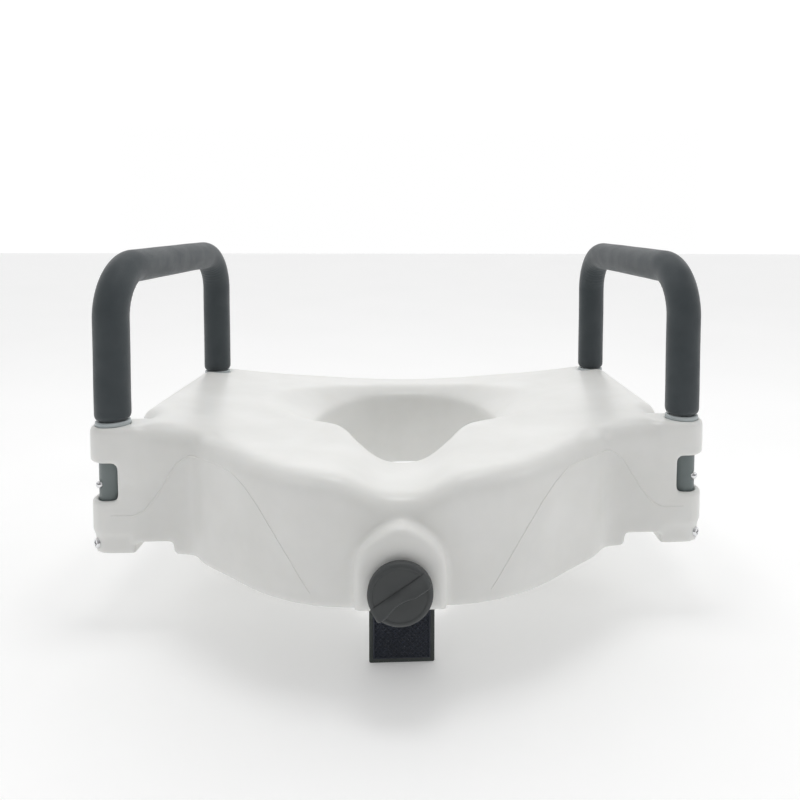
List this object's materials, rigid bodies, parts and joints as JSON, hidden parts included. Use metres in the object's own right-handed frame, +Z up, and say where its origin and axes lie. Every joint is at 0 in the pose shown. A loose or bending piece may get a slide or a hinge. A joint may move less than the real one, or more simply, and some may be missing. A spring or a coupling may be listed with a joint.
{
  "type": "raised toilet seat",
  "caption": "Hollow moulded raised toilet seat with removable padded arms, snap-button sockets and a front knob that clamps it to the bowl.",
  "frame": {"origin": "on the plane of the bowl's rim, on the centre line, in the middle of the rear rim pad's underside", "axes": "+Z up, -Y towards the front, where the clamp knob is, +X towards the arm on the right as seen from the front"},
  "size_m": [0.5688, 0.4664, 0.3458],
  "materials": {
    "white_moulding": "satin blow-moulded polyethylene, faintly mottled",
    "foam": "matt closed-cell foam sleeve",
    "arm_tube": "satin anodised tube",
    "grey_tube": "grey painted tube",
    "grey_collar": "light grey moulded collar",
    "bright_metal": "polished plated steel",
    "zinc_steel": "zinc plated steel",
    "black_plastic": "black moulded plastic",
    "grey_rubber": "soft grey rubber",
    "navy_rubber": "dark rubber with a diamond grid",
    "knob_plastic": "dark grey fine-textured plastic",
    "bracket_plastic": "dark grey moulded plastic"
  },
  "bodies": {
    "seat": {"seat_body": "white_moulding", "receiver_screws": "bright_metal", "screw_bush": "black_plastic", "rim_pad_rear": "grey_rubber", "rim_pad_side_left": "grey_rubber", "rim_pad_side_right": "grey_rubber", "rim_pad_front_left": "grey_rubber", "rim_pad_front_right": "grey_rubber", "receiver_tube_front_left": "grey_tube", "socket_collar_front_left": "grey_collar", "receiver_tube_rear_left": "grey_tube", "socket_collar_rear_left": "grey_collar", "receiver_tube_front_right": "grey_tube", "socket_collar_front_right": "grey_collar", "receiver_tube_rear_right": "grey_tube", "socket_collar_rear_right": "grey_collar"},
    "arm_left": {"arm_tube_left": "arm_tube", "foam_grip_left": "foam", "leg_plug_front_left": "black_plastic", "button_spring_front_left": "zinc_steel", "leg_plug_rear_left": "black_plastic", "button_spring_rear_left": "zinc_steel"},
    "arm_right": {"arm_tube_right": "arm_tube", "foam_grip_right": "foam", "leg_plug_front_right": "black_plastic", "button_spring_front_right": "zinc_steel", "leg_plug_rear_right": "black_plastic", "button_spring_rear_right": "zinc_steel"},
    "button_front_left": {"snap_button_front_left": "bright_metal"},
    "button_rear_left": {"snap_button_rear_left": "bright_metal"},
    "button_front_right": {"snap_button_front_right": "bright_metal"},
    "button_rear_right": {"snap_button_rear_right": "bright_metal"},
    "knob": {"clamp_knob": "knob_plastic", "clamp_screw": "zinc_steel", "knob_washer": "black_plastic", "retaining_clip": "zinc_steel"},
    "bracket": {"clamp_bracket": "bracket_plastic", "clamp_nut": "zinc_steel", "clamp_pad": "navy_rubber"}
  },
  "joints": [
    {"name": "arm_left_lift", "type": "slide", "parent": "seat", "child": "arm_left", "axis": [0, 0, 1], "range_m": [0, 0.105], "deforming": ["snap_button_front_left", "snap_button_rear_left"]},
    {"name": "arm_right_lift", "type": "slide", "parent": "seat", "child": "arm_right", "axis": [0, 0, 1], "range_m": [0, 0.105], "deforming": ["snap_button_front_right", "snap_button_rear_right"]},
    {"name": "button_front_left_press", "type": "slide", "parent": "arm_left", "child": "button_front_left", "axis": [0.7431, 0.6691, 0], "range_m": [0, 0.0052], "stiffness_N_per_m": 800, "springref_m": -0.001, "deforming": ["button_spring_front_left"]},
    {"name": "button_rear_left_press", "type": "slide", "parent": "arm_left", "child": "button_rear_left", "axis": [0.7431, -0.6691, 0], "range_m": [0, 0.0052], "stiffness_N_per_m": 800, "springref_m": -0.001, "deforming": ["button_spring_rear_left"]},
    {"name": "button_front_right_press", "type": "slide", "parent": "arm_right", "child": "button_front_right", "axis": [-0.7431, 0.6691, 0], "range_m": [0, 0.0052], "stiffness_N_per_m": 800, "springref_m": -0.001, "deforming": ["button_spring_front_right"]},
    {"name": "button_rear_right_press", "type": "slide", "parent": "arm_right", "child": "button_rear_right", "axis": [-0.7431, -0.6691, 0], "range_m": [0, 0.0052], "stiffness_N_per_m": 800, "springref_m": -0.001, "deforming": ["button_spring_rear_right"]},
    {"name": "knob_turn", "type": "hinge", "parent": "seat", "child": "knob", "pos_m": [0, -0.412, 0.0143], "axis": [0, 1, 0], "range_deg": [-2170, 2170]},
    {"name": "bracket_slide", "type": "slide", "parent": "seat", "child": "bracket", "axis": [0, -1, 0], "range_m": [-0.009, 0.009]}
  ],
  "couplings": [
    {"joint": "knob_turn", "follows": "bracket_slide", "rad_per_m": 4188.8}
  ]
}
